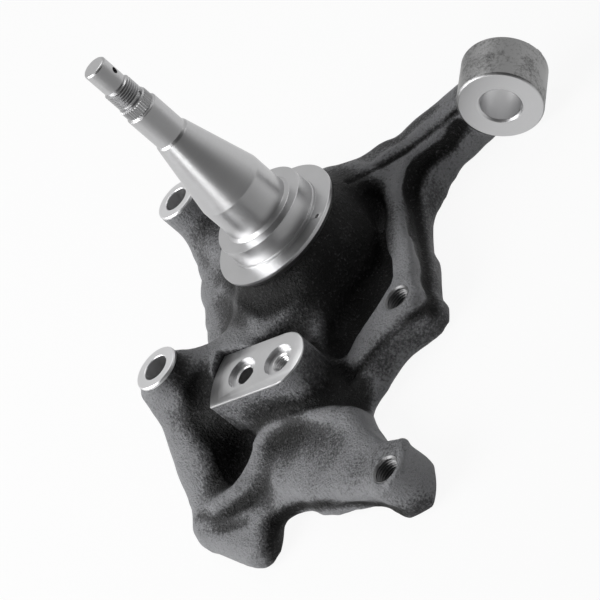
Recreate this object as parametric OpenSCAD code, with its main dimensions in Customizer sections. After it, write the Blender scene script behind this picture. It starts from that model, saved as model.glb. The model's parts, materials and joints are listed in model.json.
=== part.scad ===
// Steering knuckle: one iron casting with a machined wheel spindle, a steering eye and brake lugs.
// Millimetres. Z runs outboard along the spindle; the origin is on its axis, at the flange face.

/* [Spindle] */
// Diameter of the machined flange that closes the hub
flange_d = 88; // [80:0.5:94]
// Thickness of the machined flange
flange_t = 3; // [2:0.5:6]
// Diameter of the low ring on the flange
pilot_d = 66; // [64:0.5:74]
// Height of the low ring
pilot_h = 2; // [1:0.5:4]
// Diameter of the seal shoulder
seal_d = 64; // [56:0.5:64]
// Height of the seal shoulder above the flange face
seal_h = 14.4; // [10:0.2:18]
// Diameter of the inner bearing seat
inner_d = 45.2; // [42:0.1:50]
// Height where the inner seat ends and the taper starts
inner_h = 40; // [34:0.5:46]
// Diameter of the outer bearing seat
outer_d = 22; // [20.5:0.1:26]
// Height where the taper ends and the outer seat starts
outer_h = 91; // [84:0.5:98]
// Diameter of the serrated collar
collar_d = 20; // [18.2:0.1:20.4]
// Outside diameter of the nut thread
thread_d = 18; // [16:0.1:18]
// Diameter of the plain tip
tip_d = 15.6; // [13:0.1:16]
// Height of the whole spindle above the flange face
spindle_h = 154; // [148:0.5:160]
// Length of the plain tip
tip_l = 16.5; // [14:0.5:19]
// Length of the nut thread
thread_l = 14.5; // [10:0.5:16]
// Diameter of the split pin hole
pin_d = 4; // [3:0.1:5]

/* [Brake lugs] */
// Distance from the spindle axis to the line of the two lug holes
lug_x = 83; // [79:0.5:87]
// Distance between the lug holes
lug_span = 150; // [144:0.5:156]
// Height of the lug faces above the flange face
lug_face = 7; // [4:0.5:10]
// Diameter of the lug faces
lug_d = 31; // [29:0.5:34]
// Diameter of the lug holes
lug_hole_d = 17; // [12:0.1:19]

/* [Steering eye] */
// Sideways place of the eye at its lower face
eye_x = 138; // [134:0.5:142]
// Height of the lower face of the eye over the spindle axis
eye_y = 46; // [42:0.5:50]
// Depth of the eye axis under the flange face
eye_z = 44; // [42:0.5:46]
// Outside diameter of the eye
eye_d = 53; // [50:0.5:54]
// Bore of the eye
eye_bore_d = 24.6; // [20:0.1:28]
// Length of the eye
eye_l = 33; // [30:0.5:36]
// Lean of the eye axis in degrees
eye_lean = 8; // [4:0.5:11]

/* [Tapped bosses] */
// Sideways place of the upper tapped hole
tap_x = 62.6; // [60:0.2:65]
// Drop of the upper tapped hole under the spindle axis
tap_y = 71.4; // [69:0.2:74]
// Distance between the tapped holes
tap_span = 127.8; // [124:0.2:131]
// Depth of the tapped faces under the flange face
tap_face = 40; // [38:0.5:42]
// Tapping size of the holes
tap_d = 14; // [10:0.1:16]
// Depth of the tapped holes
tap_deep = 26; // [20:0.5:28]
// Radius of the cast bosses round the tapped holes
boss_r = 15.5; // [14.5:0.5:17]

/* [Anchor pad] */
// Sideways place of the pad's threaded hole
pad_x = -3; // [-7:0.5:-2]
// Drop of the pad's threaded hole under the spindle axis
pad_y = 101; // [99:0.5:103]
// Depth of the pad face under the flange face
pad_face = 14; // [12:0.5:16]
// Width of the pad
pad_w = 38; // [36:0.5:40]
// Length of the pad
pad_l = 73; // [68:0.5:76]
// Turn of the pad in degrees
pad_turn = 13; // [10:0.5:16]
// Distance between the pad holes
pad_pitch = 29; // [26:0.5:32]
// Diameter of the spot faces
spot_d = 21; // [18:0.1:22]
// Depth of the spot faces
spot_t = 3; // [2:0.5:5]
// Diameter of the pad's plain hole
pad_hole_d = 11.5; // [9:0.1:13]
// Tapping size of the pad's threaded hole
pad_tap_d = 10.2; // [8:0.1:12]

/* [Casting] */
// Depth of the casting's flat back under the flange face
back = 71; // [69:0.5:73]
// Depth of the lower plate's face under the flange face
plate_face = 46; // [44:0.5:48]
// Depth of the web between the lugs under the flange face
web_face = 24; // [20:0.5:28]
// Depth of the bowl between the hub and the rim under the flange face
bowl_face = 56; // [52:0.5:58]
// Radius of the channel along the arm
channel_r = 6.5; // [5:0.5:7]
// Radius of the waist between the tapped bosses
waist_r = 27; // [25:0.5:29]
// Blend between neighbouring limbs
blend = 12; // [10:0.5:14]
// Size of the cells that carry the cast surface
cell = 5.75; // [5.5:0.25:6.5]

/* [Hidden] */
$fn = 96;
cast_col = [0.11, 0.11, 0.12];
through = 200;
chamfer = 1;
back_cut = 2.5;

// Anchor points of the casting in plan
hub = [0, 0];
lug_a = [-lug_x, lug_span / 2];
lug_b = [-lug_x, -lug_span / 2];
tap_a = [tap_x, -tap_y];
tap_b = tap_a - [0.045, 1] * tap_span;
pad_dir = [cos(pad_turn), -sin(pad_turn)];
pad_a = [pad_x, -pad_y];
pad_b = pad_a - pad_dir * pad_pitch;
pad_end = pad_a - pad_dir * (pad_l - 34);
pad_corner = pad_w / 2 - 8;
pad_side = (pad_w / 2 - pad_corner) * [sin(pad_turn), cos(pad_turn)];
eye_c = [eye_x, eye_y + eye_l / 2];
rim = [59.5, 4];
arm_a = [54, 47];
arm_b = [84, 60];
arm_c = eye_c + [-22, 3];
foot_a = [-86, -150];
foot_b = [-53, -179];
plate_c = [-8, -139];
flank = [-87, -98];

function mix(a, b, t) = a + (b - a) * t;
function clamp(v) = min(max(v, 0), 1);

// A station of a limb: place, depth of its bottom and top under the flange face, and radius
function station(at, bottom, top, r) = [at.x, at.y, -bottom, -top, r];
// A limb: two stations, the draft of its sides and the radius of its edges
function limb(a, b, draft = 0.05, round = 4) = [a, b, draft, round];
function boss(at, bottom, top, r, draft, round = 4) =
    limb(station(at, bottom, top, r), station(at, bottom, top, r), draft, round);

// Points along the ridge of the lower plate: place and depth of its crest
ridge = [[27, -139, 41], [-8, -123, 40], [-26, -118, 39], [-39, -122, 41], [-45, -134, 44],
    [-56, -144, 47], [-90, -147, 50]];
function ridge_station(q) = station(q, back - 9, q.z, 4.5);

hub_limbs = [
    boss(hub, back, flange_t + 2, flange_d / 2 - 1, 0.12)];
bowl_limbs = [
    limb(station([14, -14], back, bowl_face, 42), station(tap_a, back, bowl_face, boss_r - 1)),
    limb(station([20, -80], back, bowl_face, 26), station([28, -102], back - 3, bowl_face, 16)),
    limb(station([-8, -24], 62, 30, 30), station([-14, -84], 62, 30, 24))];
rim_limbs = [
    limb(station(tap_a + [4, 20], back, tap_face, 10), station(rim + [5.5, -38], back, tap_face, 9.5), 0, 2),
    limb(station(rim + [5.5, -38], back, tap_face, 9.5), station(rim + [0.5, -14], back, tap_face - 2, 9.5), 0, 2),
    limb(station(rim + [0.5, -14], back, tap_face - 2, 9.5), station(rim + [0, 16], back, tap_face - 4, 9.5), 0, 2),
    limb(station(rim + [0, 16], back, tap_face - 4, 9.5), station(rim + [3, 33], back, tap_face - 7, 10), 0, 2),
    boss(tap_a, back, tap_face, boss_r, 0.05, 2),
    limb(station(tap_a, back, tap_face, boss_r - 1.5), station([29, -97], 66, tap_face + 2, 12), 0.02, 2)];
arm_limbs = [
    limb(station([24, 32], 60, 12, 21), station(arm_a, 60, 30, 13)),
    limb(station(arm_a, 60, 30, 13), station(arm_b, 60, 34, 10)),
    limb(station(arm_b, 60, 34, 10), station(arm_c, 60, 31, 13))];
brim_limbs = [
    limb(station(rim + [6, 24], back, 38, 9), station(arm_b - [4, 10], back, 37, 9), 0, 2),
    limb(station(arm_b - [4, 10], back, 37, 9), station(arm_c + [0, -3], back - 2, 36, 10), 0, 2)];
lug_limbs = [
    boss(lug_a, 42, -lug_face + 2, lug_d / 2 - 1, 0.03),
    limb(station([-15, 15], 60, 20, 34), station(mix(hub, lug_a, 0.92), 44, 16, 15), 0.08),
    boss(lug_b, 50, -lug_face + 2, lug_d / 2 - 1, 0.03),
    limb(station(lug_b + [10, 4], 50, 2, 12), station([-46, -70], 60, 12, 13), 0.08),
    limb(station([-46, -70], 60, 12, 13), station([-14, -34], 60, 18, 30), 0.08)];
web_limbs = [
    limb(station(lug_a + [5, -21], 50, web_face, 17), station([-67, 15], 52, web_face, 17)),
    limb(station([-67, 15], 52, web_face, 17), station([-58, -30], 52, web_face - 2, 18))];
pad_limbs = [
    limb(station(pad_a, 66, pad_face + 1, pad_w / 2),
        station(pad_a - pad_dir * 34, 66, pad_face + 1, pad_w / 2), 0.04, 3),
    limb(station(pad_end + pad_side, 66, pad_face + 1, pad_corner),
        station(pad_end - pad_side, 66, pad_face + 1, pad_corner), 0.04, 3),
    limb(station(flank + [4, 4], 64, 22, 7), station(pad_b + [-30, 2], 64, 24, 7), 0.2, 3)];
flank_limbs = [
    limb(station(flank + [0, 14], 60, 0, 15), station(flank, 62, 26, 15)),
    limb(station(flank, 62, 26, 15), station(flank - [0, 14], 64, 37, 15)),
    limb(station(flank - [0, 14], 64, 37, 15), station(foot_a + [2, 8], 68, 49, 17))];
plate_limbs = [
    limb(station(plate_c + [6, 25], 66, plate_face + 2, 27), station(plate_c, 66, plate_face + 2, 29)),
    limb(station(plate_c, 66, plate_face + 2, 29), station(plate_c + [18, -21], 66, plate_face + 1, 26)),
    limb(station(plate_c + [18, -21], 66, plate_face + 1, 26), station(tap_b + [-4, 6], 66, tap_face + 2, 13)),
    limb(station(plate_c - [0, 2], 66, plate_face + 3, 27), station([-50, -150], 66, plate_face + 7, 23)),
    limb(station([-62, -96], 66, plate_face + 12, 24), station([-46, -132], 66, plate_face + 12, 26))];
ridge_limbs = [for (i = [1:len(ridge) - 1]) limb(ridge_station(ridge[i - 1]), ridge_station(ridge[i]), 0.5, 3)];
tap_limbs = [
    limb(station(tap_b, back, tap_face, boss_r - 2.5),
        station(tap_b + [-1, 10], back, tap_face, boss_r - 2.5), 0.07, 2)];
foot_limbs = [
    limb(station(foot_a, back, 54, 16), station(foot_b, back, 54, 15), 0.03, 3)];

// The limbs in groups: the blend that joins the group on, the blend inside it, and its limbs
groups = [[1, 1, hub_limbs], [blend, 0.7 * blend, bowl_limbs], [blend, blend, lug_limbs],
    [blend, 0.7 * blend, web_limbs], [0.6 * blend, 0.7 * blend, arm_limbs], [0.4 * blend, 1, rim_limbs],
    [0.4 * blend, 1, brim_limbs], [blend, blend, flank_limbs], [0.5 * blend, 1, pad_limbs],
    [0.7 * blend, 0.7 * blend, plate_limbs],
    [0.8 * blend, 1, ridge_limbs], [0.5 * blend, 1, tap_limbs], [0.5 * blend, 1, foot_limbs]];

// Channel along the outer side of the rim and the arm: points on its axis, with its radius there
channel = [[tap_x + 17.5, -12 - tap_y, -50.5, 3.5], [tap_x + 18, 9 - tap_y, -49, 4.5],
    [tap_x + 14, 28 - tap_y, -48, 3], [rim.x + 11.5, rim.y - 24, -47, 5],
    [rim.x + 10.5, rim.y - 4, -46.5, channel_r - 0.5], [rim.x + 10.5, rim.y + 17, -45, channel_r - 0.5],
    [rim.x + 14.5, rim.y + 29, -44.5, channel_r], [arm_b.x + 4.5, arm_b.y - 19, -44, channel_r],
    [arm_c.x - 8, arm_c.y - 16.5, -44, channel_r - 1]];
waist = [tap_x - 2.6, -tap_y - 0.45 * tap_span];

// Distance from a point to a limb, negative inside
function limb_dist(p, s) =
    let (a = s[0], b = s[1],
        d = [b[0] - a[0], b[1] - a[1]],
        dd = d * d,
        t = dd == 0 ? 0 : clamp([p.x - a[0], p.y - a[1]] * d / dd),
        q = a + (b - a) * t,
        u = norm([p.x - q[0], p.y - q[1]]) - q[4] - s[2] * (q[3] - p.z) + s[3],
        v = abs(p.z - (q[2] + q[3]) / 2) - (q[3] - q[2]) / 2 + s[3])
    norm([max(u, 0), max(v, 0)]) + min(max(u, v), 0) - s[3];
function spot(q) = [q[0], q[1], q[2]];
function tube_dist(p, a, b) = let (o = spot(a), d = spot(b) - o, t = clamp((p - o) * d / (d * d)))
    norm(p - o - d * t) - mix(a[3], b[3], t);
// Two distances joined with a fillet of about k
function join(a, b, k) = let (h = max(k - abs(a - b), 0)) min(a, b) - h * h / (4 * k);
function group_dist(p, g, i = 0, acc = 1000) =
    i == len(g[2]) ? acc : group_dist(p, g, i + 1, join(acc, limb_dist(p, g[2][i]), g[1]));
function body(p, i = 0, acc = 1000) =
    i == len(groups) ? acc : body(p, i + 1, join(acc, group_dist(p, groups[i]), groups[i][0]));
function cut_channel(p) = min([for (i = [1:len(channel) - 1]) tube_dist(p, channel[i - 1], channel[i])]);
function cut_waist(p) = norm([p.x - waist.x, p.y - waist.y]) - waist_r;
function field(p) = -join(join(join(-body(p), cut_channel(p), 3), cut_waist(p), 8), p.z + back + back_cut, 4);

// Grid of cells round the casting
low = [foot_a.x - 32, tap_b.y - 39, -back - back_cut - 1.5 * cell];
high = [eye_c.x + 14, lug_a.y + 33, lug_face + 14];
n = [for (i = [0:2]) ceil((high[i] - low[i]) / cell)];
function grid(i, j, k) = low + cell * [i, j, k];
raw = [for (i = [0:n.x]) [for (j = [0:n.y]) [for (k = [0:n.z]) field(grid(i, j, k))]]];

// Nodes outside the body that meet it only across a corner are filled, so that no two sheets share an edge
turns = [for (a = [-1, 1]) for (b = [-1, 1])
    each [[[a, 0, 0], [0, b, 0]], [[a, 0, 0], [0, 0, b]], [[0, a, 0], [0, 0, b]]]];
function at(g, q) = g[q.x][q.y][q.z];
function pinched(g, p) = at(g, p) < 0 || at(g, p) > 1.5 * cell ? false :
    max([for (t = turns) at(g, p + t[0]) < 0 && at(g, p + t[1]) < 0 && at(g, p + t[0] + t[1]) >= 0 ? 1 : 0]) > 0;
function mended(g) = [for (i = [0:n.x]) [for (j = [0:n.y]) [for (k = [0:n.z])
    min(i, j, k) > 0 && i < n.x && j < n.y && k < n.z && pinched(g, [i, j, k]) ? -0.1 * cell : g[i][j][k]]]];
f = mended(mended(raw));

// Cast surface: one point in each cell that it crosses, one facet pair round each crossed edge
corners = [for (a = [0, 1]) for (b = [0, 1]) for (c = [0, 1]) [a, b, c]];
edges = [for (a = corners) for (b = corners) if (a < b && norm(b - a) == 1) [a, b]];
function crossed(i, j, k) = let (s = [for (c = corners) at(f, [i, j, k] + c)]) min(s) < 0 && max(s) >= 0;
cells = [for (i = [0:n.x - 1]) for (j = [0:n.y - 1]) [for (k = [0:n.z - 1]) if (crossed(i, j, k)) k]];
starts = [for (a = 0, s = 0; a < len(cells); s = s + len(cells[a]), a = a + 1) s];
function index(i, j, k) = let (c = i * n.y + j) starts[c] + len([for (v = cells[c]) if (v < k) 1]);
function sum(v, i = 0, acc = [0, 0, 0]) = i == len(v) ? acc : sum(v, i + 1, acc + v[i]);
function cell_point(q) =
    let (hits = [for (e = edges) let (a = q + e[0], b = q + e[1], fa = at(f, a), fb = at(f, b))
        if ((fa < 0) != (fb < 0)) low + cell * mix(a, b, fa / (fa - fb))])
    sum(hits) / len(hits);
skin = [for (i = [0:n.x - 1]) for (j = [0:n.y - 1]) for (k = cells[i * n.y + j]) cell_point([i, j, k])];
function quad(q, flip) =
    let (r = flip ? [q[3], q[2], q[1], q[0]] : q)
    norm(skin[r[0]] - skin[r[2]]) < norm(skin[r[1]] - skin[r[3]])
        ? [[r[0], r[1], r[2]], [r[0], r[2], r[3]]] : [[r[1], r[2], r[3]], [r[1], r[3], r[0]]];
function turned(a, b) = (at(f, a) < 0) != (at(f, b) < 0);
facets = [for (i = [1:n.x - 1]) for (j = [1:n.y - 1]) for (k = [1:n.z - 1]) each [
    if (turned([i, j, k], [i + 1, j, k]))
        each quad([index(i, j - 1, k - 1), index(i, j, k - 1), index(i, j, k), index(i, j - 1, k)], f[i][j][k] < 0),
    if (turned([i, j, k], [i, j + 1, k]))
        each quad([index(i - 1, j, k - 1), index(i - 1, j, k), index(i, j, k), index(i, j, k - 1)], f[i][j][k] < 0),
    if (turned([i, j, k], [i, j, k + 1]))
        each quad([index(i - 1, j - 1, k), index(i, j - 1, k), index(i, j, k), index(i - 1, j, k)], f[i][j][k] < 0)]];

module cast_body() polyhedron(points = skin, faces = facets);

// Turned profile of the spindle, from the hub out to the tip
thread_h = spindle_h - tip_l;
collar_h = thread_h - thread_l - 1;
seat_h = collar_h - 6;
module spindle() rotate_extrude() polygon([
    [0, -flange_t - 8], [flange_d / 2 - 3, -flange_t - 8], [flange_d / 2 - 1, -flange_t],
    [flange_d / 2, 0.6 - flange_t],
    [flange_d / 2, 0], [pilot_d / 2, 0], [pilot_d / 2, pilot_h], [seal_d / 2, pilot_h], [seal_d / 2, seal_h - 1],
    [seal_d / 2 - 1, seal_h], [inner_d / 2 + 1.5, seal_h], [inner_d / 2, seal_h + 1.5],
    [inner_d / 2, inner_h], [outer_d / 2 + 1, outer_h - 1.5], [outer_d / 2, outer_h],
    [outer_d / 2, seat_h - 1], [outer_d / 2 - 1.5, seat_h], [collar_d / 2 - 1, seat_h], [collar_d / 2, seat_h + 1],
    [collar_d / 2, collar_h], [thread_d / 2 - 1, collar_h], [thread_d / 2, collar_h + 1],
    [thread_d / 2, thread_h - 1], [tip_d / 2, thread_h], [tip_d / 2, spindle_h - chamfer],
    [tip_d / 2 - chamfer, spindle_h], [0, spindle_h]]);

// Places a bore's child on the axis of the steering eye, from its lower face upward
module on_eye() translate([eye_x, eye_y, -eye_z]) rotate([0, 0, -eye_lean]) rotate([-90, 0, 0]) children();

module pad_shape() intersection() {
    hull() for (d = [0, pad_l - pad_w / 2 - 5]) translate(pad_a - pad_dir * d) circle(d = pad_w);
    translate(pad_a - pad_dir * 4) circle(r = pad_l - pad_w / 2 - 5);
}

// A hole down from a face at height h, with a chamfered mouth
module hole(at, h, d, deep) translate([at.x, at.y, h]) {
    translate([0, 0, -deep]) cylinder(d = d, h = deep);
    translate([0, 0, -chamfer]) cylinder(d1 = d, d2 = d + 2 * chamfer, h = chamfer);
    cylinder(d = d + 2 * chamfer, h = 8);
}

module machined_adds() {
    spindle();
    on_eye() cylinder(d = eye_d, h = eye_l);
    for (q = [lug_a, lug_b]) translate([q.x, q.y, -20]) cylinder(d = lug_d, h = lug_face + 20);
    translate([0, 0, -pad_face - 5]) linear_extrude(5) pad_shape();
}

module machined_cuts() {
    on_eye() translate([0, 0, -1]) cylinder(d = eye_bore_d, h = eye_l + 2);
    for (q = [lug_a, lug_b]) hole(q, lug_face, lug_hole_d, through);
    for (q = [tap_a, tap_b]) hole(q, -tap_face, tap_d, tap_deep);
    translate([0, 0, -pad_face]) linear_extrude(20) pad_shape();
    for (q = [pad_a, pad_b]) translate([q.x, q.y, -pad_face - spot_t]) cylinder(d = spot_d, h = 10);
    hole(pad_a, -pad_face - spot_t, pad_tap_d, 26);
    hole(pad_b, -pad_face - spot_t, pad_hole_d, through);
    translate([0, 0, -back - through / 2]) cube([3 * through, 3 * through, through], center = true);
    translate([0, 0, spindle_h - 9.5]) rotate([0, 90, 0]) cylinder(d = pin_d, h = thread_d, center = true);
}

module steering_knuckle() color(cast_col) difference() {
    union() {
        cast_body();
        machined_adds();
    }
    machined_cuts();
}

steering_knuckle();
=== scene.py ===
# Steering knuckle: surface detail, finishes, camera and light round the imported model
import json
import math
import bmesh
import bpy
import numpy as np
from mathutils import Matrix, Vector
from mathutils.bvhtree import BVHTree
from mathutils.kdtree import KDTree

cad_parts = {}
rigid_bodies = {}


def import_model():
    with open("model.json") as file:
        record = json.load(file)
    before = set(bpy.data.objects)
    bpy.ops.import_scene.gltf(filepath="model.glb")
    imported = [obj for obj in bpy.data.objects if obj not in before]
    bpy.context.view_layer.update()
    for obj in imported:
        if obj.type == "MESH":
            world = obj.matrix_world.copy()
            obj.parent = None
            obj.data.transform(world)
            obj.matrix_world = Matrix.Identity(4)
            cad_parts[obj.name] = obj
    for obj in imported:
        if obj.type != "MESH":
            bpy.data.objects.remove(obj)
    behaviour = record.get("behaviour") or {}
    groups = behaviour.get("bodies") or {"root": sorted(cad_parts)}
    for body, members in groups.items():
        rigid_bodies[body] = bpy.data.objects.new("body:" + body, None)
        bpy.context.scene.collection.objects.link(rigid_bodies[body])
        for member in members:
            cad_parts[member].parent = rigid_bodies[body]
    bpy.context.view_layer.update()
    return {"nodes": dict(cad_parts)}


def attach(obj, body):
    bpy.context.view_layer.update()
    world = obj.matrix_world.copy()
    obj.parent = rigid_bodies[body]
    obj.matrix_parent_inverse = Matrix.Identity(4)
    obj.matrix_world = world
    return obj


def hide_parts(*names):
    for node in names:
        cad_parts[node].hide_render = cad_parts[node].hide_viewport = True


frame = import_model()
mm = 0.001
touching = 1e-6                                                # metres: points as near as this are one
zUp = Vector((0, 0, 1))
print("frame loaded")


# Shader sums written as plain expressions
class Signal:
    def __init__(self, tree, socket):
        self.tree, self.socket = tree, socket

    def __add__(self, other): return self.tree.math("ADD", self, other)
    def __radd__(self, other): return self.tree.math("ADD", other, self)
    def __sub__(self, other): return self.tree.math("SUBTRACT", self, other)
    def __rsub__(self, other): return self.tree.math("SUBTRACT", other, self)
    def __mul__(self, other): return self.tree.math("MULTIPLY", self, other)
    def __rmul__(self, other): return self.tree.math("MULTIPLY", other, self)

    def swing(self, share): return (self - 0.5) * share        # a noise taken round zero
    def clamped(self): return self.tree.math("ADD", self, 0.0, clamp=True)

    def between(self, low, high):
        smooth = {"interpolation_type": "SMOOTHSTEP"}
        return self.tree.node("ShaderNodeMapRange", smooth, self, low, high, 0.0, 1.0)


# One node tree, with a single way to add any node
class Tree:
    def __init__(self, owner):
        owner.use_nodes = True
        self.nodes, self.links = owner.node_tree.nodes, owner.node_tree.links
        self.nodes.clear()

    def node(self, kind, settings=None, *inputs, output=0, **named):
        made = self.nodes.new(kind)
        for key, value in (settings or {}).items():
            setattr(made, key, value)
        values = list(enumerate(inputs)) + [(key.replace("_", " "), value) for key, value in named.items()]
        for key, value in values:
            if isinstance(value, Signal):
                self.links.new(value.socket, made.inputs[key])
            elif value is not None:
                made.inputs[key].default_value = value
        return Signal(self, made.outputs[output]) if len(made.outputs) else None

    def math(self, operation, *values, clamp=False):
        return self.node("ShaderNodeMath", {"operation": operation, "use_clamp": clamp}, *values)

    def blend(self, amount, one, two):
        skipped = [None] * 5                                   # a Mix node's number and vector sockets
        return self.node("ShaderNodeMix", {"data_type": "RGBA"}, amount, *skipped, one, two, output=2)

    def noise(self, place, scale, detail=2.0, rough=0.5):
        return self.node("ShaderNodeTexNoise", {}, Vector=place, Scale=scale, Detail=detail, Roughness=rough)

    def place(self, kind="Object"):
        return self.node("ShaderNodeTexCoord", output=kind)

    def facing(self, way, other):
        return self.node("ShaderNodeVectorMath", {"operation": "DOT_PRODUCT"}, way, other, output=1)

    def ray(self, kind):
        return self.node("ShaderNodeLightPath", output=kind)

    def finish(self, **named):
        shader = self.node("ShaderNodeBsdfPrincipled", {}, **named)
        self.node("ShaderNodeOutputMaterial", {}, shader)


def grey(value, tint=(1.0, 1.0, 1.0)):
    return tuple(value * part for part in tint) + (1.0,)


# Paint over cast iron, with painted shade in hollows and a painted highlight on ridges, both from the hollow
# level, and worn chips; a noise has scale, detail and roughness
paint = {"dark": 0.002, "mid": 0.050, "light": 0.235, "chip": 0.22, "toMid": (0.0, 0.5), "toLight": (0.45, 1.0),
         "cloud": (38.0, 3.0, 0.5), "speck": (620.0, 2.0, 0.6), "grain": (950.0, 3.0, 0.65),
         "lumps": (210.0, 2.0), "cloudTone": 0.5, "speckTone": 1.1, "grainTone": 0.4,
         "chipped": (0.84, 0.95), "chipGrain": 0.5, "chipShare": 0.25, "chipLeast": 0.08,
         "rough": 0.46, "speckRough": 0.3, "hollowRough": 0.12, "shine": 0.28,
         "grainRise": 0.6, "speckRise": 1.1, "lumpsRise": 0.9, "bump": 1.0, "bumpDepth": 0.0011}


def paintedCasting():
    made = bpy.data.materials.new("painted_casting")
    tree = Tree(made)
    place = tree.place()
    hollow = tree.node("ShaderNodeAttribute", {"attribute_name": "hollow"}, output=2)
    cloud, speck = tree.noise(place, *paint["cloud"]), tree.noise(place, *paint["speck"])
    grain, lumps = tree.noise(place, *paint["grain"]), tree.noise(place, *paint["lumps"])
    # the hollow level paints shade into hollows and a highlight onto ridges
    shade = (hollow + cloud.swing(paint["cloudTone"]) + speck.swing(paint["speckTone"])
             + grain.swing(paint["grainTone"])).clamped()
    low = tree.blend(shade.between(*paint["toMid"]), grey(paint["dark"]), grey(paint["mid"], (1, 1, 1.04)))
    colour = tree.blend(shade.between(*paint["toLight"]), low, grey(paint["light"], (1, 1.01, 1.05)))
    chips = (speck + grain * paint["chipGrain"]).between(*paint["chipped"])
    worn = chips * (shade * paint["chipShare"] + paint["chipLeast"])
    colour = tree.blend(worn, colour, grey(paint["chip"], (1, 1, 1.02)))
    rough = paint["rough"] + speck.swing(paint["speckRough"]) + (1.0 - shade) * paint["hollowRough"]
    rise = grain * paint["grainRise"] + speck * paint["speckRise"] + lumps * paint["lumpsRise"]
    bump = tree.node("ShaderNodeBump", {}, Height=rise, Strength=paint["bump"], Distance=paint["bumpDepth"])
    tree.finish(Base_Color=colour, Roughness=rough, Normal=bump, Specular_IOR_Level=paint["shine"])
    return made


# Turned and milled metal: tool marks in rings round an axis, rust specks, and a stained outside if one is given
metal = {"fine": (3400.0, 2.0), "wide": (700.0, 1.0), "cloud": (70.0, 3.0), "speck": (900.0, 3.0, 0.7),
         "level": 0.92, "fineTone": 0.10, "wideTone": 0.10, "cloudTone": 0.15, "lowTone": 0.55,
         "marked": (0.62, 0.70), "markCloud": 0.3, "markTone": 0.05, "markDull": 0.8, "markRough": 0.3,
         "skinFrom": 0.0012, "skinTo": 0.0003, "skinTone": 0.50,
         "stain": (420.0, 4.0, 0.75), "stainSwing": 1.3, "stained": (0.42, 0.80), "stainShare": 0.8,
         "stainTone": 0.18, "fineRough": 0.16, "cloudRough": 0.15, "bump": 0.12, "bumpDepth": 0.0002}


def turnedMetal(name, look, centre=(0, 0, 0), lean=(0, 0, 0), skin=None):
    made = bpy.data.materials.new(name)
    tree = Tree(made)
    place, tone = tree.place(), look["tone"]
    spot = tree.node("ShaderNodeMapping", {"vector_type": "TEXTURE"}, place, Location=centre, Rotation=lean)
    flat = tree.node("ShaderNodeMapping", {}, spot, Scale=(1, 1, 0))
    across = tree.node("ShaderNodeVectorMath", {"operation": "LENGTH"}, flat, output=1)
    height = tree.node("ShaderNodeSeparateXYZ", {}, spot, output=2)
    ring = tree.node("ShaderNodeCombineXYZ", {}, across, height, 0.0)
    fine, wide = tree.noise(ring, *metal["fine"]), tree.noise(ring, *metal["wide"])
    cloud, speck = tree.noise(place, *metal["cloud"]), tree.noise(place, *metal["speck"])
    mark = (speck + cloud.swing(metal["markCloud"])).between(*metal["marked"]) * look["specks"]
    level = metal["level"] + fine.swing(metal["fineTone"]) + wide.swing(metal["wideTone"])
    level = (level + cloud.swing(metal["cloudTone"])).clamped()
    colour = tree.blend(level, grey(tone * metal["lowTone"]), grey(tone, (1, 1, 1.01)))
    if skin:
        outside = across.between(skin - metal["skinFrom"], skin - metal["skinTo"])
        stain = cloud + tree.noise(place, *metal["stain"]).swing(metal["stainSwing"])
        stain = stain.between(*metal["stained"]) * metal["stainShare"]
        dull = tree.blend(stain, grey(tone * metal["skinTone"]), grey(tone * metal["stainTone"]))
        colour = tree.blend(outside, colour, dull)
        mark = mark * outside
    colour = tree.blend(mark, colour, grey(metal["markTone"], (1, 0.97, 0.93)))
    rough = look["rough"] + fine.swing(metal["fineRough"]) + cloud.swing(metal["cloudRough"])
    bump = tree.node("ShaderNodeBump", {}, Height=fine * look["lines"] + wide * look["lines"],
                     Strength=metal["bump"], Distance=metal["bumpDepth"])
    tree.finish(Base_Color=colour, Metallic=1.0 - mark * metal["markDull"],
                Roughness=rough + mark * metal["markRough"], Normal=bump)
    return made


# Edges look sharp from this many degrees on
sharpFrom = {"none": 180, "plain": 40, "cast": 38, "thread": 35, "turned": 30, "teeth": 20}


# Meshes: one way to start, to finish and to turn a profile
def meshObject(name, work, material, edges):
    bmesh.ops.remove_doubles(work, verts=work.verts, dist=touching)
    bmesh.ops.recalc_face_normals(work, faces=work.faces)
    mesh = bpy.data.meshes.new(name)
    work.to_mesh(mesh)
    work.free()
    made = bpy.data.objects.new(name, mesh)
    bpy.context.scene.collection.objects.link(made)
    if material:
        mesh.materials.append(material)
    mesh.shade_smooth()
    made.modifiers.new("weighted", "WEIGHTED_NORMAL").keep_sharp = True
    mesh.set_sharp_from_angle(angle=math.radians(sharpFrom[edges]))
    return made


def turned(corners, rounding, steps, closed):
    work = bmesh.new()
    points = [work.verts.new((radius * mm, 0, height * mm)) for radius, height in corners]
    for pair in zip(points, points[1:] + (points[:1] if closed else [])):
        work.edges.new(pair)
    outer = [point for point in points if point.co.x > touching]
    bmesh.ops.bevel(work, geom=outer, offset=rounding * mm, segments=2, profile=0.5, affect="VERTICES",
                    offset_type="OFFSET", clamp_overlap=True, material=-1)
    bmesh.ops.spin(work, geom=list(work.verts) + list(work.edges), cent=(0, 0, 0), axis=zUp, angle=2 * math.pi,
                   steps=steps, use_merge=True, use_duplicate=False)
    bmesh.ops.remove_doubles(work, verts=work.verts, dist=touching)
    return work


def moved(work, matrix):
    bmesh.ops.transform(work, matrix=matrix, verts=work.verts)
    return work


def rod(radius, low, high, steps=64):
    work = bmesh.new()
    bmesh.ops.create_cone(work, cap_ends=True, segments=steps, radius1=radius * mm, radius2=radius * mm,
                          depth=(high - low) * mm)
    bmesh.ops.translate(work, verts=work.verts, vec=(0, 0, (high + low) / 2 * mm))
    return work


def shift(x, y, z=0.0):
    return Matrix.Translation((x * mm, y * mm, z * mm))


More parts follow.
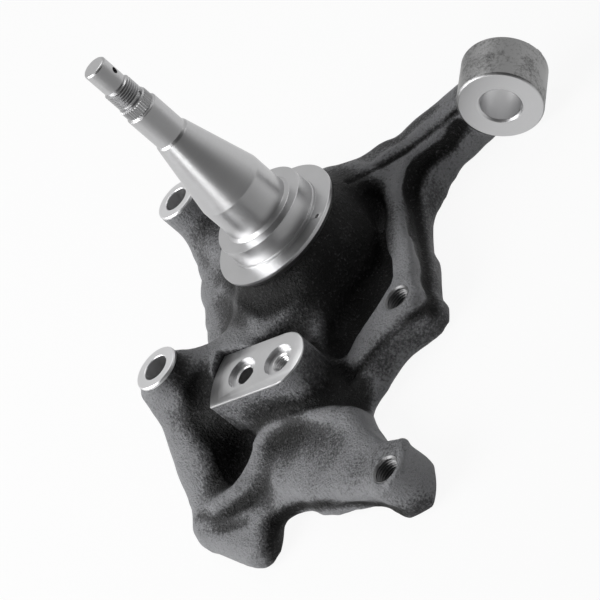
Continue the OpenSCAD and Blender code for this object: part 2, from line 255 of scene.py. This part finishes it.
def cut(piece, tool, operation="DIFFERENCE"):
    cutter = bpy.data.objects.new("tool", bpy.data.meshes.new("tool"))
    bmesh.ops.recalc_face_normals(tool, faces=tool.faces)
    tool.to_mesh(cutter.data)
    tool.free()
    bpy.context.scene.collection.objects.link(cutter)
    step = piece.modifiers.new("cut", "BOOLEAN")
    step.operation, step.solver, step.object = operation, "MANIFOLD", cutter
    applied(piece)
    bpy.data.objects.remove(cutter)


def applied(piece):
    graph = bpy.context.evaluated_depsgraph_get()
    mesh = bpy.data.meshes.new_from_object(piece.evaluated_get(graph), preserve_all_data_layers=True,
                                           depsgraph=graph)
    old, piece.data = piece.data, mesh
    piece.modifiers.clear()
    mesh.name = old.name


def cleaned(piece, fewest, weld=None):
    work = bmesh.new()
    work.from_mesh(piece.data)
    if weld:
        bmesh.ops.remove_doubles(work, verts=work.verts, dist=weld)
        bmesh.ops.dissolve_degenerate(work, edges=work.edges, dist=weld)
    left, crumbs = set(work.verts), []
    while left:                                                # islands of a few points are crumbs of a cut
        island, openEnds = set(), [left.pop()]
        while openEnds:
            spot = openEnds.pop()
            island.add(spot)
            for edge in spot.link_edges:
                other = edge.other_vert(spot)
                if other in left:
                    left.discard(other)
                    openEnds.append(other)
        if len(island) < fewest:
            crumbs += island
    bmesh.ops.delete(work, geom=crumbs, context="VERTS")
    if weld:
        bmesh.ops.holes_fill(work, edges=[edge for edge in work.edges if edge.is_boundary], sides=0)
    work.to_mesh(piece.data)
    work.free()


def sharpened(piece, angle):
    piece.data.shade_smooth()
    piece.data.set_sharp_from_angle(angle=math.radians(angle))


def dressed(piece):
    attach(piece, "root")
    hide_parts("steering_knuckle")


# Machined places of the part and the look of their metal, in millimetres
lug = {"places": [(-83, 75), (-83, -75)], "face": 7.0, "radius": 15.3, "hole": 8.5, "low": -30,
       "mouth": 0.5, "edge": 0.8, "wall": 2.2, "shelf": 3, "shelfGap": 2, "lowGap": 1.5,
       "look": {"tone": 0.82, "specks": 0.0, "rough": 0.34, "lines": 0.5}}
tap = {"places": [(62.6, -71.4), (56.849, -199.2)], "hole": 7.0, "faceAt": 9.3, "depth": 24, "pitch": 1.75,
       "deep": 0.9, "sunk": 0.4, "ring": [(7.3, -3), (7.3, -1.0), (8.3, 0.05), (8.6, 0.05), (8.6, -3)],
       "look": {"tone": 0.20, "specks": 1.0, "rough": 0.45, "lines": 0.5}}
pad = {"place": (-3, -101), "turn": 13.0, "pitch": 29.0, "width": 38.0, "length": 73.0, "face": -14.0,
       "endTrim": 5, "endShift": 4, "over": 5, "steps": 96, "arcSteps": 256, "skin": 1.2, "brim": 0.6,
       "cup": 10.5, "cupDepth": 3.0, "cupWall": 10.88, "cupTop": 0.4, "cupEdge": 0.9, "cupFloor": 2,
       "cupRounding": 0.15,
       "near": {"hole": 5.5, "thread": 4.9, "threadDepth": 22, "threadPitch": 1.5, "deep": 0.55, "sunk": 3.2},
       "far": {"hole": 5.75, "sleeve": [(5.75, -48), (5.75, -17.4), (6.3, -17.4), (6.3, -48)]},
       "look": {"tone": 0.62, "specks": 0.0, "rough": 0.34, "lines": 0.5}}
eye = {"place": (138, 46, -44), "lean": 8.0, "radius": 26.5, "bore": 12.3, "length": 33.0, "mouth": 1.4,
       "edge": 1.3, "rounding": 0.3, "look": {"tone": 0.64, "specks": 1.0, "rough": 0.42, "lines": 0.3}}
padWay = Vector((math.cos(math.radians(pad["turn"])), -math.sin(math.radians(pad["turn"])), 0))
padNear = Vector((*pad["place"], 0))
padFar = padNear - padWay * pad["pitch"]
eyeSeat = (shift(*eye["place"]) @ Matrix.Rotation(math.radians(-eye["lean"]), 4, "Z")
           @ Matrix.Rotation(math.radians(-90), 4, "X"))


# A block in the outline of the anchor pad: half round at the far end, a wide arc at the near one
def padBlock(name, material, grow, low, high):
    work = bmesh.new()
    radius = pad["width"] / 2 + grow
    reach = pad["length"] - pad["width"] / 2 - pad["endTrim"] + grow
    bmesh.ops.create_circle(work, cap_ends=True, segments=pad["steps"], radius=radius * mm)
    far = [v for v in work.verts if v.co.dot(padWay) < touching]
    bmesh.ops.translate(work, verts=far, vec=padWay * -reach * mm)
    raised = bmesh.ops.extrude_face_region(work, geom=work.faces[:])
    top = [v for v in raised["geom"] if isinstance(v, bmesh.types.BMVert)]
    bmesh.ops.translate(work, verts=top, vec=zUp * (high - low) * mm)
    piece = meshObject(name, moved(work, shift(*pad["place"], low)), material, "plain")
    end = padNear - padWay * pad["endShift"]
    arc = rod(reach, low - pad["over"], high + pad["over"], pad["arcSteps"])
    cut(piece, moved(arc, shift(end.x, end.y)), "INTERSECT")
    return piece


def padTool(grow, low, high):
    block = padBlock("padTool", None, grow, low, high)
    work = bmesh.new()
    work.from_mesh(block.data)
    bpy.data.objects.remove(block)
    return work


# Cast body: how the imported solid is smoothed, read for hollows and cut; rods are radius, low end and high end
body = {"voxel": 1.36, "smoothPasses": 10, "smoothShare": 0.5, "spread": 0.6,
        "hollowPasses": 120, "hollowDepth": 2.2, "broadPasses": 600, "broadDepth": 3,
        "plainLevel": 0.57, "proudShare": 0.6, "broadShare": 0.6, "leastLevel": 0.01, "cutLevel": 0.25,
        "spindleRod": (60, -2.6, 170), "flangeRod": (42.2, -5.4, 20), "backRod": (220, -120, -71),
        "lugRod": (17.5, 5.6, 30), "lugHoleRod": (8.8, -90, 30), "tapRod": (8.5, -66, -20),
        "eyePlay": 0.4, "eyeOver": 0.5,
        "padOver": 0.8, "padUnder": 0.15, "padSkin": 1.0, "padRoot": 26, "padTop": 20,
        "cupRod": (10.9, -22, 10), "nearRod": (6.2, -46, 10), "farRod": (6.05, -120, 10),
        "fewest": 200, "weld": 2e-6}

# Strokes over the casting: points in millimetres, radius, height, and how much lighter the paint is there, as
# painted highlight where positive and painted shade where negative
strokes = [
    # ridge between pocket and plate
    ([(15, -133, -40), (-13, -123, -38), (-30, -121, -39), (-41, -124, -41), (-53, -136, -46),
      (-62, -145, -47), (-77, -149, -47)], 4.5, 2.4, 0.35),
    # pocket under the pad
    ([(-73, -101, -26), (-70, -112, -38), (-72, -126, -46)], 11, -5.0, -0.9),
    # far end of the pocket
    ([(-60, -104, -50), (-64, -122, -52)], 9, -3.0, -0.8),
    # hollow of the plate
    ([(-32, -132, -43), (-38, -143, -46), (-44, -150, -50)], 7, -1.2, 0.15),
    # edge round the lower boss
    ([(66, -181, -45), (68, -194, -42), (66, -204, -41), (55, -212, -42), (31, -200, -51),
      (10, -190, -54)], 3.0, 1.6, 0.3),
    # painted shade on the underside of the plate
    ([(-28, -171, -60), (-21, -172, -59), (0, -186, -53), (12, -190, -55), (25, -195, -58),
      (35, -200, -61), (47, -210, -60)], 4.0, -1.2, -1.1),
    # upper furrow of the foot
    ([(-93, -147, -48), (-79, -155, -49), (-65, -155, -50), (-54, -154, -51)], 4.5, -2.0, -0.45),
    # lower furrow of the foot
    ([(-93, -157, -51), (-78, -162, -53), (-58, -168, -52)], 4.0, -1.0, -0.25),
    # back of the foot
    ([(-38, -176, -62), (-40, -184, -64), (-40, -189, -70)], 9, -1.5, -1.8),
    # underside by the lower boss
    ([(36, -205, -64), (50, -211, -63), (59, -212, -66), (70, -216, -67)], 8, 0.0, -0.6),
    # crease right of the pad
    ([(12, -82, -29), (17, -92, -33), (20, -100, -40), (24, -109, -45)], 3.4, -4.5, -1.2),
    # crease from the pad to the upper boss
    ([(79, -78, -52), (63, -92, -46), (46, -101, -44), (27, -109, -45)], 3.0, -2.2, -0.8),
    # wall right of the pad
    ([(13, -106, -24), (15, -112, -38), (22, -124, -46)], 9, -1.5, -0.9),
    # low end of that wall
    ([(26, -107, -44), (25, -116, -51), (28, -128, -54)], 6, -1.5, -0.7),
    # rim band
    ([(41, 45, -22), (55, 33, -27), (62, 22, -33), (64, 7, -37), (68, -17, -38), (72, -42, -38),
      (73, -60, -39)], 5.0, 1.4, 0.35),
    # edge where rim and arm meet
    ([(62, 22, -33), (73, 33, -33), (84, 41, -37)], 4, 0.6, 0.6),
    # edge of the arm's flange
    ([(74, 36, -37), (84, 43, -40), (97, 48, -42)], 2.5, 0.8, 0.55),
    # top of the arm
    ([(35, 52, -22), (50, 57, -28), (72, 55, -31), (94, 64, -32)], 8, 0.0, -0.5),
    # outer side of the rim
    ([(74, 28, -60), (70, 12, -64), (70, -2, -64), (72, -18, -63), (76, -44, -62), (80, -64, -66),
      (80, -80, -68)], 9, 0.0, -0.35),
    # underside of the upper boss
    ([(80, -84, -64), (68, -89, -64), (60, -94, -56), (50, -99, -52), (42, -104, -52)], 11, 0.0, -0.4),
    # strip over the plate
    ([(-13, -121, -34), (-4, -125, -37), (8, -122, -40)], 6, 0.0, -0.6),
    # wall under the pad
    ([(-50, -110, -22), (-30, -117, -24), (-8, -121, -26)], 8, 0.0, -0.25),
    # round the lower boss
    ([(44, -178, -42), (60, -192, -41), (30, -186, -44)], 11, 0.0, -0.22),
    # furrow of the arm
    ([(112, 53, -35), (103, 52, -36), (91, 49, -36), (77, 44, -34), (68, 40, -31), (58, 36, -28),
      (50, 32, -24), (42, 27, -19)], 2.1, -2.4, -0.8),
    # edge above the furrow
    ([(108, 61, -36), (90, 55, -34), (72, 48, -31), (57, 41, -26)], 2.6, 1.2, 0.25),
    # channel
    ([(107, 49, -44), (95, 47, -49), (82, 42, -46), (73, 33, -44), (68, 24, -47), (67, 9, -53),
      (70, -13, -55), (76, -41, -52), (77, -61, -53), (77, -78, -56)], 4.0, -3.0, -1.3),
    # bowl
    ([(42, 15, -18), (44, 0, -34), (38, -22, -38), (24, -40, -36)], 20, -1.0, -1.0),
    # upper end of the bowl
    ([(28, -36, -24), (8, -46, -19), (-12, -44, -14), (-24, -36, -10)], 12, -1.0, -0.9),
    # bowl under the flange
    ([(44, 14, -9), (44, -2, -10), (39, -20, -8), (28, -35, -8), (10, -44, -7), (-10, -43, -5),
      (-27, -34, -5)], 11, -0.6, -1.0),
    # low end of the bowl
    ([(18, -51, -36), (16, -61, -42), (15, -70, -46)], 10, -1.0, -0.8),
    # outer crease of the bowl
    ([(48, 20, -34), (50, -2, -44), (44, -24, -48), (30, -44, -46), (18, -64, -44)], 5, -2.0, -0.5),
    # hollow left of the pad
    ([(-70, -72, 5), (-68, -82, -1), (-68, -90, -12)], 8, -2.0, -1.1),
    # crease left of the pad
    ([(-58, -78, -10), (-64, -88, -12), (-67, -97, -14)], 5, -4.0, -0.3),
    # ridge of the web
    ([(-62, 1, -22), (-34, -40, -15), (-20, -65, -16)], 5, 1.5, 0.15),
    # hollow of the web
    ([(-52, 16, -20), (-30, -20, -12)], 7, -1.8, -0.5)]


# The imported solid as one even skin, without the spindle and the flange
def packedSkin():
    node = frame["nodes"]["steering_knuckle"]
    work = bmesh.new()
    work.from_mesh(node.data)
    piece = meshObject("castBody", moved(work, node.matrix_world), None, "none")
    piece.modifiers.clear()
    cut(piece, rod(*body["spindleRod"], 128))
    remesh = piece.modifiers.new("remesh", "REMESH")
    remesh.mode, remesh.voxel_size, remesh.use_smooth_shade = "VOXEL", body["voxel"] * mm, True
    smooth = piece.modifiers.new("smooth", "SMOOTH")
    smooth.factor, smooth.iterations = body["smoothShare"], body["smoothPasses"]
    applied(piece)
    return piece


def machined(piece):
    tools = [rod(*body["flangeRod"], 128), rod(*body["backRod"])]
    for place in lug["places"]:
        tools.append(moved(rod(*body["lugRod"]), shift(*place)))
        tools.append(moved(rod(*body["lugHoleRod"]), shift(*place)))
    for place in tap["places"]:
        tools.append(moved(rod(*body["tapRod"]), shift(*place)))
    over = body["eyeOver"]
    tools.append(moved(rod(eye["radius"] - body["eyePlay"], -over, eye["length"] + over, 128), eyeSeat))
    for tool in tools:
        cut(piece, tool)
    seat = pad["face"] - body["padSkin"]
    cut(piece, padTool(body["padOver"], seat, body["padTop"]))
    cut(piece, padTool(-body["padUnder"], pad["face"] - body["padRoot"], seat), "UNION")
    for size, place in (("cupRod", padNear), ("cupRod", padFar), ("nearRod", padNear), ("farRod", padFar)):
        cut(piece, moved(rod(*body[size]), shift(place.x, place.y)))


def castBody(material):
    piece = packedSkin()
    paintedLight = stroked(piece)
    points, levels = hollows(piece, paintedLight)
    machined(piece)
    cleaned(piece, body["fewest"], body["weld"])
    # the painted shade and highlight level, carried over to the faces that the cuts made
    mark = piece.data.attributes["hollow"]
    level = np.empty(len(mark.data), dtype=np.float32)
    mark.data.foreach_get("value", level)
    nearby = KDTree(len(points))
    for index, point in enumerate(points):
        nearby.insert(point, index)
    nearby.balance()
    for index in np.flatnonzero(level < body["leastLevel"] / 2):  # the faces of a cut have none yet
        nearest = nearby.find(piece.data.vertices[index].co)[1]
        level[index] = max(levels[nearest], body["cutLevel"])
    mark.data.foreach_set("value", level)
    piece.data.materials.clear()
    piece.data.materials.append(material)
    sharpened(piece, sharpFrom["cast"])
    return piece


def vertexRows(mesh):
    points, normals = np.empty(len(mesh.vertices) * 3), np.empty(len(mesh.vertices) * 3)
    mesh.vertices.foreach_get("co", points)
    mesh.vertices.foreach_get("normal", normals)
    return points.reshape(-1, 3), normals.reshape(-1, 3)


# Raises or sinks the surface along each stroke, and returns each point's painted light: how much darker
# (painted shade) or lighter (painted highlight) it gets
def stroked(piece):
    points, normals = vertexRows(piece.data)
    paintedLight, raised = np.zeros(len(points)), np.zeros(len(points))
    for chain, radius, height, tone in strokes:
        spots = np.array(chain) * mm
        nearest = np.full(len(points), 1.0)
        for start, end in zip(spots, spots[1:]):
            along = end - start
            part = np.clip((points - start) @ along / (along @ along), 0, 1)
            nearest = np.minimum(nearest, np.linalg.norm(points - start - part[:, None] * along, axis=1))
        fall = np.exp(-(nearest / (radius * mm)) ** 2)
        raised += height * mm * fall
        # the stroke's tone is painted shade or painted highlight
        paintedLight += tone * fall
    points += normals * raised[:, None]
    piece.data.vertices.foreach_set("co", points.ravel())
    piece.data.update()
    return paintedLight


def relaxed(points, ends, weight, passes):
    spread = points.copy()
    for _ in range(passes):
        total = np.zeros_like(spread)
        for axis in range(3):
            total[:, axis] = (np.bincount(ends[:, 0], spread[ends[:, 1], axis], len(points))
                              + np.bincount(ends[:, 1], spread[ends[:, 0], axis], len(points)))
        spread += body["spread"] * (total / weight[:, None] - spread)
    return spread


# Low in hollows and high on ridges: how far the skin stands off itself when relaxed a little and a lot. This
# level, with the strokes' painted light added, is the paint's painted shade and painted highlight
def hollows(piece, paintedLight):
    mesh = piece.data
    points, normals = vertexRows(mesh)
    ends = np.empty(len(mesh.edges) * 2, dtype=np.int64)
    mesh.edges.foreach_get("vertices", ends)
    ends = ends.reshape(-1, 2)
    weight = np.maximum(np.bincount(ends.ravel(), minlength=len(points)), 1)
    near = relaxed(points, ends, weight, body["hollowPasses"])
    wide = relaxed(near, ends, weight, body["broadPasses"])
    proud = ((points - near) * normals).sum(1) / mm / body["hollowDepth"]
    broad = ((near - wide) * normals).sum(1) / mm / body["hollowDepth"] / body["broadDepth"]
    level = np.clip(body["plainLevel"] + body["proudShare"] * proud + body["broadShare"] * broad, 0, 1)
    level = np.clip(level + paintedLight, body["leastLevel"], 1)
    mark = mesh.attributes.new("hollow", "FLOAT", "POINT")
    mark.data.foreach_set("value", level.astype(np.float32))
    return points, level


# Spindle, turned in one profile from the flange to the tip: radius and height in millimetres
spindle = {"profile": [(0, -6), (41.5, -6), (43.2, -2.9), (44, -2.4), (44, 0), (33, 0), (33, 2), (32, 2),
                       (32, 14.4), (24.6, 14.4), (22.6, 16.4), (22.6, 40), (12, 89.5), (11, 91), (11, 115),
                       (9.4, 116), (9.4, 123.4), (7.4, 123.6), (7.4, 136.6), (7.8, 137.2), (7.8, 153),
                       (6.8, 154), (0, 154)],
           "rounding": 0.35, "steps": 128, "fewest": 40,
           "collar": {"root": 9.3, "tip": 10.0, "low": 116.2, "high": 122.0, "teeth": 36, "inset": 0.35,
                      "rise": 0.3},
           "thread": {"root": 7.2, "crest": 8.95, "low": 123.6, "high": 136.9, "pitch": 1.65, "flat": 0.12,
                      "foot": 0.98, "steps": 64, "runOut": 1.4},
           "pin": {"rod": (2.0, -12, 12, 32), "height": 144.5},
           "flangeHole": {"rod": (1.5, -2.2, 2, 24), "place": (34.8, -17.3)},
           "look": {"tone": 0.56, "specks": 0.0, "rough": 0.34, "lines": 0.5}}


def spindleBody(material):
    pin, hole = spindle["pin"], spindle["flangeHole"]
    work = turned(spindle["profile"], spindle["rounding"], spindle["steps"], False)
    piece = meshObject("spindleBody", work, material, "turned")
    across = shift(0, 0, pin["height"]) @ Matrix.Rotation(math.pi / 2, 4, "Y")
    cut(piece, moved(rod(*pin["rod"]), across))
    cut(piece, moved(rod(*hole["rod"]), shift(*hole["place"])))
    cleaned(piece, spindle["fewest"])
    return piece


def collarTeeth(material):
    collar = spindle["collar"]
    work = rod(collar["tip"], collar["low"], collar["high"], collar["teeth"] * 2)
    roots = [v for v in work.verts if round(math.atan2(v.co.y, v.co.x) / math.pi * collar["teeth"]) % 2]
    narrow = collar["root"] / collar["tip"]
    bmesh.ops.scale(work, verts=roots, vec=(narrow, narrow, 1))
    caps = [f for f in work.faces if abs(f.normal.z) > 0.9]    # the two flat ends
    bmesh.ops.inset_region(work, faces=caps, thickness=collar["inset"] * mm, depth=collar["rise"] * mm)
    return meshObject("collarTeeth", work, material, "teeth")


def nutThread(material):
    thread = spindle["thread"]
    root, pitch, flat = thread["root"], thread["pitch"], thread["flat"]
    work = bmesh.new()
    half = pitch / 2
    corners = [(root, -half * thread["foot"]), (thread["crest"], -flat), (thread["crest"], flat),
               (root, half * thread["foot"])]
    start = thread["low"] + half
    section = [work.verts.new((radius * mm, 0, (start + height) * mm)) for radius, height in corners]
    face = work.faces.new(section)
    turns = (thread["high"] - thread["low"] - pitch) / pitch
    bmesh.ops.spin(work, geom=[face] + list(face.edges) + list(face.verts), cent=(0, 0, 0), axis=zUp,
                   dvec=(0, 0, pitch / thread["steps"] * mm), angle=2 * math.pi * turns,
                   steps=round(turns * thread["steps"]), use_duplicate=False)
    for v in work.verts:                                       # the thread runs out at both ends
        lead = min(v.co.z / mm - thread["low"], thread["high"] - v.co.z / mm) / pitch
        reach = math.hypot(v.co.x, v.co.y)
        keep = root * mm + (reach - root * mm) * min(max(lead, 0.0) * thread["runOut"], 1.0)
        v.co.x, v.co.y = v.co.x * keep / reach, v.co.y * keep / reach
    return meshObject("nutThread", work, material, "thread")


# Rings, sleeves and plates at the machined places
ringSteps = 96


def ringPiece(name, corners, material, place, rounding=0.2):
    return meshObject(name, moved(turned(corners, rounding, ringSteps, True), place), material, "turned")


def lugPiece(name, place, material):
    hole, radius, face, low, edge = lug["hole"], lug["radius"], lug["face"], lug["low"], lug["edge"]
    corners = [(hole, low), (hole, face - lug["mouth"]), (hole + lug["mouth"], face), (radius - edge, face),
               (radius, face - edge), (radius, face - lug["wall"]),
               (hole + lug["shelfGap"], face - lug["shelf"]), (hole + lug["lowGap"], low)]
    return ringPiece(name, corners, material, shift(*place))


def eyePiece(material):
    bore, radius, length, mouth, edge = eye["bore"], eye["radius"], eye["length"], eye["mouth"], eye["edge"]
    corners = [(bore, mouth), (bore + mouth, 0), (radius - edge, 0), (radius, edge), (radius, length - edge),
               (radius - edge, length), (bore + mouth, length), (bore, length - mouth)]
    return ringPiece("eyeBarrel", corners, material, eyeSeat, eye["rounding"])


# A cut thread in a hole: one tooth's line spun down the hole, trimmed at both ends and given a wall
sleeve = {"tooth": [(0.05, 0), (0.05, 0.12), (1, 0.5), (1, 0.6), (0.05, 1)], "steps": 48, "top": -0.6,
          "wall": 0.5, "weld": 2e-6}


def threadSleeve(name, radius, depth, pitch, deep, place, material):
    work = bmesh.new()
    chain = [work.verts.new(((radius + out * deep) * mm, 0, (height * pitch - depth) * mm))
             for out, height in sleeve["tooth"]]
    links = [work.edges.new(pair) for pair in zip(chain, chain[1:])]
    turns, rise = round((depth + 1) / pitch), pitch / sleeve["steps"] * mm
    bmesh.ops.spin(work, geom=chain + links, cent=(0, 0, 0), axis=zUp, dvec=(0, 0, rise),
                   angle=2 * math.pi * turns, steps=sleeve["steps"] * turns, use_duplicate=False)
    bmesh.ops.remove_doubles(work, verts=work.verts, dist=sleeve["weld"])
    for height, way in ((sleeve["top"], 1), (-depth + pitch, -1)):
        bmesh.ops.bisect_plane(work, geom=list(work.verts) + list(work.edges) + list(work.faces),
                               plane_co=(0, 0, height * mm), plane_no=(0, 0, way), clear_outer=True)
    bmesh.ops.recalc_face_normals(work, faces=work.faces)
    outward = sum(f.normal.dot(f.calc_center_median() * Vector((1, 1, 0))) for f in work.faces)
    if outward > 0:                                            # the visible side faces the axis
        bmesh.ops.reverse_faces(work, faces=work.faces)
    bmesh.ops.solidify(work, geom=work.faces[:], thickness=sleeve["wall"] * mm)
    return meshObject(name, moved(work, place), material, "thread")


def padPlate(material):
    face, floor = pad["face"], pad["face"] - pad["cupDepth"]
    piece = padBlock("padPlate", material, 0.0, face - pad["skin"], face)
    work = bmesh.new()
    work.from_mesh(piece.data)
    bmesh.ops.dissolve_limit(work, angle_limit=0.01, verts=work.verts, edges=work.edges)
    brim = [e for e in work.edges if all(abs(v.co.z - face * mm) < touching for v in e.verts)]
    bmesh.ops.bevel(work, geom=brim, offset=pad["brim"] * mm, segments=2, profile=0.5, affect="EDGES",
                    material=-1)
    work.to_mesh(piece.data)
    work.free()
    radius, wall, edge = pad["cup"], pad["cupWall"], pad["cupEdge"]
    top, low = face - pad["cupTop"], floor - pad["cupFloor"]
    for side, place, hole in (("A", padNear, pad["near"]["hole"]), ("B", padFar, pad["far"]["hole"])):
        cut(piece, moved(rod(radius, floor, 10), shift(place.x, place.y)))
        corners = [(radius, top), (radius, floor), (hole + edge, floor), (hole, floor - edge), (hole, low),
                   (wall, low), (wall, top)]
        cup = ringPiece("padCup" + side, corners, material, shift(place.x, place.y), pad["cupRounding"])
        dressed(cup)
    sharpened(piece, sharpFrom["turned"])
    return piece


# The middle height of a surface on a circle round a place, in millimetres
def surfaceHeight(piece, place, radius, spots=16, above=50):
    tree = BVHTree.FromObject(piece, bpy.context.evaluated_depsgraph_get())
    found = []
    for step in range(spots):
        turn = step * 2 * math.pi / spots
        x, y = place[0] + radius * math.cos(turn), place[1] + radius * math.sin(turn)
        spot = tree.ray_cast(Vector((x * mm, y * mm, above * mm)), -zUp)[0]
        if spot:
            found.append(spot.z / mm)
    return sorted(found)[len(found) // 2]


paintMaterial = paintedCasting()
print("paint ready")
cast = castBody(paintMaterial)
dressed(cast)
print("cast body:", len(cast.data.polygons), "faces")

spindleMetal = turnedMetal("machined_spindle", spindle["look"])
for make in (spindleBody, collarTeeth, nutThread):
    dressed(make(spindleMetal))
print("spindle ready")

for side, place in zip("AB", lug["places"]):
    lugMetal = turnedMetal("machined_lug" + side, lug["look"], shift(*place).translation)
    dressed(lugPiece("lugRing" + side, place, lugMetal))
eyeMetal = turnedMetal("machined_eye", eye["look"], eyeSeat.translation, eyeSeat.to_euler(), eye["radius"] * mm)
dressed(eyePiece(eyeMetal))
print("lugs and eye ready")

near = pad["near"]
padMetal = turnedMetal("machined_pad", pad["look"], shift(*pad["place"]).translation)
dressed(padPlate(padMetal))
padThread = threadSleeve("padThread", near["thread"], near["threadDepth"], near["threadPitch"], near["deep"],
                         shift(*pad["place"], pad["face"] - near["sunk"]), padMetal)
dressed(padThread)
dressed(ringPiece("padSleeve", pad["far"]["sleeve"], padMetal, shift(padFar.x, padFar.y)))
print("pad ready")

for side, place in zip("AB", tap["places"]):
    tapMetal = turnedMetal("machined_tap" + side, tap["look"], shift(*place).translation)
    face = surfaceHeight(cast, place, tap["faceAt"])
    print("tap", side, "face at", round(face, 2))
    tapThread = threadSleeve("tapThread" + side, tap["hole"], tap["depth"], tap["pitch"], tap["deep"],
                             shift(*place, face - tap["sunk"]), tapMetal)
    dressed(tapThread)
    dressed(ringPiece("tapRing" + side, tap["ring"], tapMetal, shift(*place, face)))
print("bores ready")

# Camera as the photo was taken
view = {"right": (0.7535, 0.0399, -0.6562), "up": (0.4492, 0.6977, 0.5581), "back": (0.4801, -0.7153, 0.5078),
        "place": (0.6249, -0.9755, 0.6345), "lens": 132.0, "sensor": 36.0, "clip": (0.05, 30.0)}
camera = bpy.data.objects.new("camera", bpy.data.cameras.new("camera"))
bpy.context.scene.collection.objects.link(camera)
turn = Matrix([view["right"], view["up"], view["back"]]).transposed().to_4x4()
camera.matrix_world = Matrix.Translation(view["place"]) @ turn
camera.data.lens, camera.data.sensor_fit = view["lens"], "HORIZONTAL"
camera.data.sensor_width, camera.data.sensor_height = view["sensor"], view["sensor"]
camera.data.clip_start, camera.data.clip_end = view["clip"]
bpy.context.scene.camera = camera

# Light: a broad lamp from the left, three fills, and a surround whose mirror image is dark towards the front
light = {"ambient": 0.16, "mirrorDark": 0.08, "mirrorBright": 0.66, "mirrorFade": (0.25, 0.85),
         "aim": (0.02, -0.05, -0.02),
         "lamps": [{"name": "keyLamp", "way": (-0.72, -0.38, 0.58), "far": 1.5, "size": 1.4, "power": 23.0},
                   {"name": "topLamp", "way": (-0.05, 0.45, 0.9), "far": 1.6, "size": 0.9, "power": 4.0},
                   {"name": "lowLamp", "way": (-0.35, -0.92, -0.02), "far": 1.6, "size": 0.7, "power": 5.5},
                   {"name": "sideLamp", "way": (0.95, 0.25, 0.25), "far": 1.8, "size": 0.6, "power": 1.2}]}


def surround():
    world = bpy.data.worlds.new("surround")
    bpy.context.scene.world = world
    tree = Tree(world)
    front = tree.facing(tree.place("Generated"), view["back"])
    front = front.between(*light["mirrorFade"])
    mirror = tree.blend(front, grey(light["mirrorBright"]), grey(light["mirrorDark"]))
    colour = tree.blend(tree.ray("Is Glossy Ray"), grey(light["ambient"]), mirror)
    clear = tree.math("MAXIMUM", tree.ray("Is Camera Ray"), tree.ray("Is Transmission Ray"))
    colour = tree.blend(clear, colour, grey(1.0))
    tree.node("ShaderNodeOutputWorld", {}, tree.node("ShaderNodeBackground", {}, colour, 1.0))


def lamps():
    for lamp in light["lamps"]:
        data = bpy.data.lights.new(lamp["name"], "AREA")
        data.shape, data.size, data.energy = "DISK", lamp["size"], lamp["power"]
        made = bpy.data.objects.new(lamp["name"], data)
        toward = Vector(lamp["way"]).normalized()
        place = Matrix.Translation(Vector(light["aim"]) + toward * lamp["far"])
        made.matrix_world = place @ toward.to_track_quat("Z", "Y").to_matrix().to_4x4()
        bpy.context.scene.collection.objects.link(made)


# Floor: white to the camera where no shadow falls, and dimmer in reflections towards the front
ground = {"tone": 0.86, "rough": 0.5, "white": 0.92, "size": 3.0, "height": -71.3,
          "frontWay": (0.56, -0.83, 0), "frontFade": (0.04, 0.24), "mirrorFar": 0.92, "mirrorFront": 0.36,
          "mirrorShare": 0.85}


def floorPlane():
    made = bpy.data.materials.new("pale_floor")
    tree = Tree(made)
    matt = tree.node("ShaderNodeBsdfDiffuse", {}, grey(ground["tone"]), ground["rough"])
    white = tree.node("ShaderNodeEmission", {}, grey(1.0), 1.0)
    plain = tree.node("ShaderNodeMixShader", {}, tree.ray("Is Camera Ray") * ground["white"], matt, white)
    front = tree.facing(tree.place(), ground["frontWay"]).between(*ground["frontFade"])
    mirrored = tree.blend(front, grey(ground["mirrorFar"]), grey(ground["mirrorFront"]))
    mirror = tree.node("ShaderNodeEmission", {}, mirrored, 1.0)
    gloss = tree.ray("Is Glossy Ray") * ground["mirrorShare"]
    tree.node("ShaderNodeOutputMaterial", {}, tree.node("ShaderNodeMixShader", {}, gloss, plain, mirror))
    work = bmesh.new()
    bmesh.ops.create_grid(work, x_segments=1, y_segments=1, size=ground["size"])
    bmesh.ops.translate(work, verts=work.verts, vec=(0, 0, ground["height"] * mm))
    floor = meshObject("floor", work, made, "plain")


surround()
lamps()
floorPlane()
print("camera and light ready")
bpy.context.scene.view_settings.view_transform = "Standard"
bpy.context.view_layer.update()
